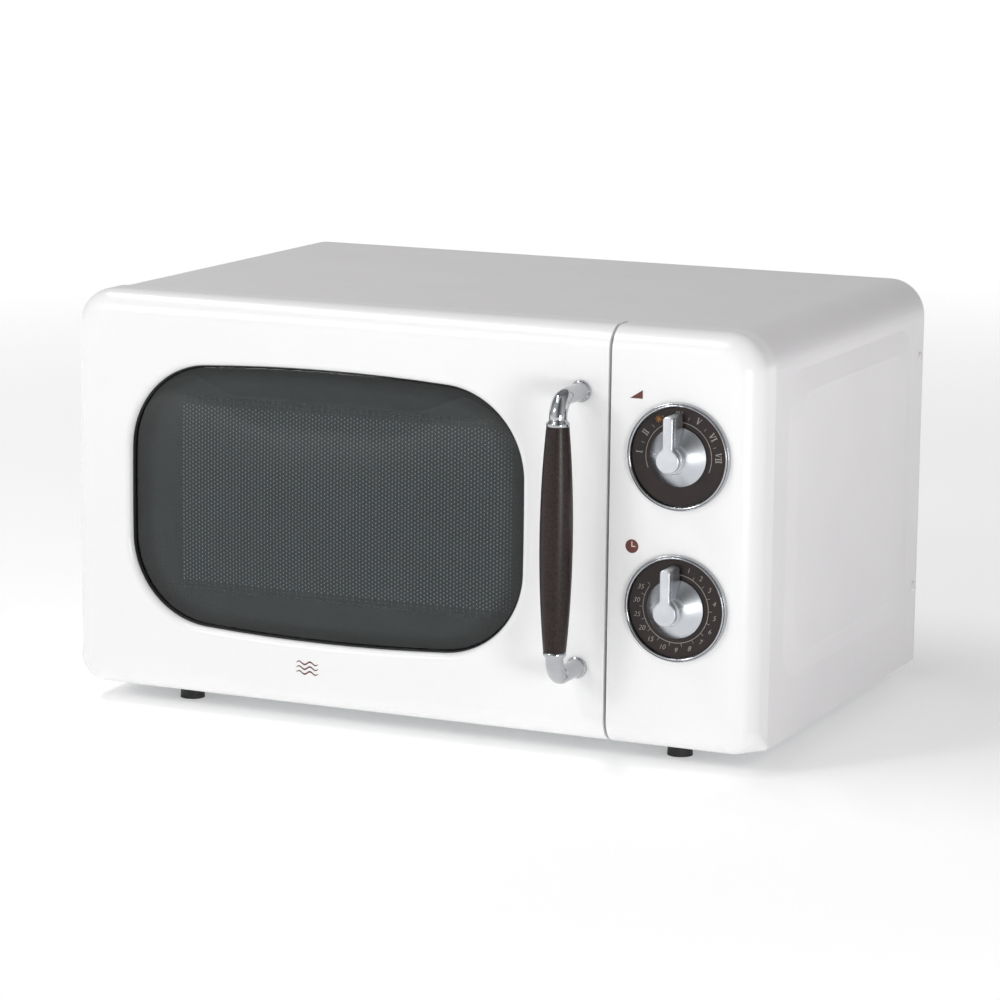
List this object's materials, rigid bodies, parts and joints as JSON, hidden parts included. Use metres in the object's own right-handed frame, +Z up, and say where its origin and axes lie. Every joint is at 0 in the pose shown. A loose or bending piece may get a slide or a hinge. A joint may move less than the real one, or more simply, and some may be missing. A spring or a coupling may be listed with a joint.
{
  "type": "countertop microwave oven",
  "caption": "Rounded countertop microwave oven with a side-hinged window door, bar handle, two dials, and a glass turntable in its cavity.",
  "frame": {"origin": "middle of the whole oven's footprint, handle included, on the plane the feet stand on", "axes": "+Z up; the door and dials face -Y; the door's hinge is on the -X side and the dials are on the +X side"},
  "size_m": [0.456, 0.3498, 0.262],
  "materials": {
    "white_shell": "glossy white moulded plastic",
    "white_steel": "glossy white enamelled sheet steel",
    "tinted_pane": "dark tinted clear pane",
    "black_plastic": "matt black moulded plastic",
    "screen_steel": "black enamelled perforated steel",
    "zinc_steel": "zinc plated sheet steel",
    "cavity_enamel": "pale grey enamelled steel",
    "clear_film": "milky clear plastic film",
    "chrome": "polished chrome plate",
    "brown_grip": "dark brown grained grip",
    "satin_knob": "satin silver knob",
    "brown_face": "dark brown printed dial face",
    "rubber": "black rubber",
    "mica": "pale brown mica",
    "tray_glass": "clear moulded glass",
    "grey_plastic": "pale grey moulded plastic",
    "white_plastic": "off-white moulded plastic",
    "aluminium_fins": "plain aluminium",
    "ferrite": "dark grey ferrite",
    "core_steel": "varnished steel laminations",
    "copper_coil": "enamelled copper windings",
    "board": "brown circuit board",
    "lamp_glass": "clear lamp glass",
    "spring_steel": "spring steel"
  },
  "bodies": {
    "cabinet": {"base_plate": "zinc_steel", "capacitor": "aluminium_fins", "cavity_lamp": "lamp_glass", "control_panel": "white_shell", "cord_inlet": "black_plastic", "cover_screws": "zinc_steel", "diode": "black_plastic", "door_switches": "black_plastic", "fan_frame": "black_plastic", "fan_motor": "zinc_steel", "filter_board": "board", "foot_front_left": "rubber", "foot_front_right": "rubber", "foot_rear_left": "rubber", "foot_rear_right": "rubber", "front_frame": "cavity_enamel", "hinge_lower": "zinc_steel", "hinge_upper": "zinc_steel", "latch_board": "white_plastic", "magnetron_filter": "zinc_steel", "magnetron_magnets": "ferrite", "magnetron_tube": "aluminium_fins", "magnetron_yoke": "zinc_steel", "outer_cover": "white_steel", "oven_cavity": "cavity_enamel", "power_dial_face": "brown_face", "power_dial_ring": "chrome", "power_unit": "white_plastic", "rear_panel": "zinc_steel", "timer_dial_face": "brown_face", "timer_dial_ring": "chrome", "timer_unit": "white_plastic", "transformer_coils": "copper_coil", "transformer_core": "core_steel", "turntable_motor": "zinc_steel", "waveguide": "zinc_steel", "waveguide_cover": "mica"},
    "door": {"door_outer_frame": "white_shell", "door_window": "tinted_pane", "door_screen": "screen_steel", "door_inner_plate": "cavity_enamel", "door_choke_cover": "black_plastic", "door_film": "clear_film", "handle_upper": "chrome", "handle_lower": "chrome", "handle_grip": "brown_grip", "handle_screws": "zinc_steel", "latch_spring": "spring_steel"},
    "latch": {"latch_hooks": "black_plastic"},
    "power_dial": {"power_knob": "satin_knob", "power_shaft": "zinc_steel"},
    "timer_dial": {"timer_knob": "satin_knob", "timer_shaft": "zinc_steel"},
    "coupler": {"turntable_coupler": "grey_plastic"},
    "tray": {"glass_tray": "tray_glass"},
    "ring": {"roller_ring": "grey_plastic"},
    "wheel_1": {"roller_1": "grey_plastic"},
    "wheel_2": {"roller_2": "grey_plastic"},
    "wheel_3": {"roller_3": "grey_plastic"},
    "fan": {"fan_blade": "grey_plastic"}
  },
  "joints": [
    {"name": "door_swing", "type": "hinge", "parent": "cabinet", "child": "door", "pos_m": [-0.222, -0.1091, 0.137], "axis": [0, 0, -1], "range_deg": [0, 100]},
    {"name": "latch_lift", "type": "slide", "parent": "door", "child": "latch", "axis": [0, 0, 1], "range_m": [0, 0.004], "stiffness_N_per_m": 400, "springref_m": -0.004},
    {"name": "power_turn", "type": "hinge", "parent": "cabinet", "child": "power_dial", "pos_m": [0.1789, -0.1311, 0.1889], "axis": [0, 1, 0], "range_deg": [-85, 85]},
    {"name": "timer_turn", "type": "hinge", "parent": "cabinet", "child": "timer_dial", "pos_m": [0.1789, -0.1311, 0.099], "axis": [0, 1, 0], "range_deg": [0, 302]},
    {"name": "table_spin", "type": "hinge", "parent": "cabinet", "child": "coupler", "pos_m": [-0.053, 0.0329, 0.041], "axis": [0, 0, 1], "continuous": true},
    {"name": "tray_lift", "type": "slide", "parent": "coupler", "child": "tray", "axis": [0, 0, 1], "range_m": [0, 0.03]},
    {"name": "ring_spin", "type": "hinge", "parent": "cabinet", "child": "ring", "pos_m": [-0.053, 0.0329, 0.0413], "axis": [0, 0, 1], "continuous": true},
    {"name": "wheel_1_spin", "type": "hinge", "parent": "ring", "child": "wheel_1", "pos_m": [0.031, 0.0814, 0.0413], "axis": [0.866, 0.5, 0], "continuous": true},
    {"name": "wheel_2_spin", "type": "hinge", "parent": "ring", "child": "wheel_2", "pos_m": [-0.137, 0.0814, 0.0413], "axis": [-0.866, 0.5, 0], "continuous": true},
    {"name": "wheel_3_spin", "type": "hinge", "parent": "ring", "child": "wheel_3", "pos_m": [-0.053, -0.0641, 0.0413], "axis": [0, -1, 0], "continuous": true},
    {"name": "fan_spin", "type": "hinge", "parent": "cabinet", "child": "fan", "pos_m": [0.165, 0.155, 0.16], "axis": [0, 1, 0], "continuous": true}
  ],
  "couplings": [
    {"joint": "ring_spin", "follows": "table_spin", "ratio": 0.5},
    {"joint": "wheel_1_spin", "follows": "table_spin", "ratio": -6.9286},
    {"joint": "wheel_2_spin", "follows": "table_spin", "ratio": -6.9286},
    {"joint": "wheel_3_spin", "follows": "table_spin", "ratio": -6.9286}
  ]
}
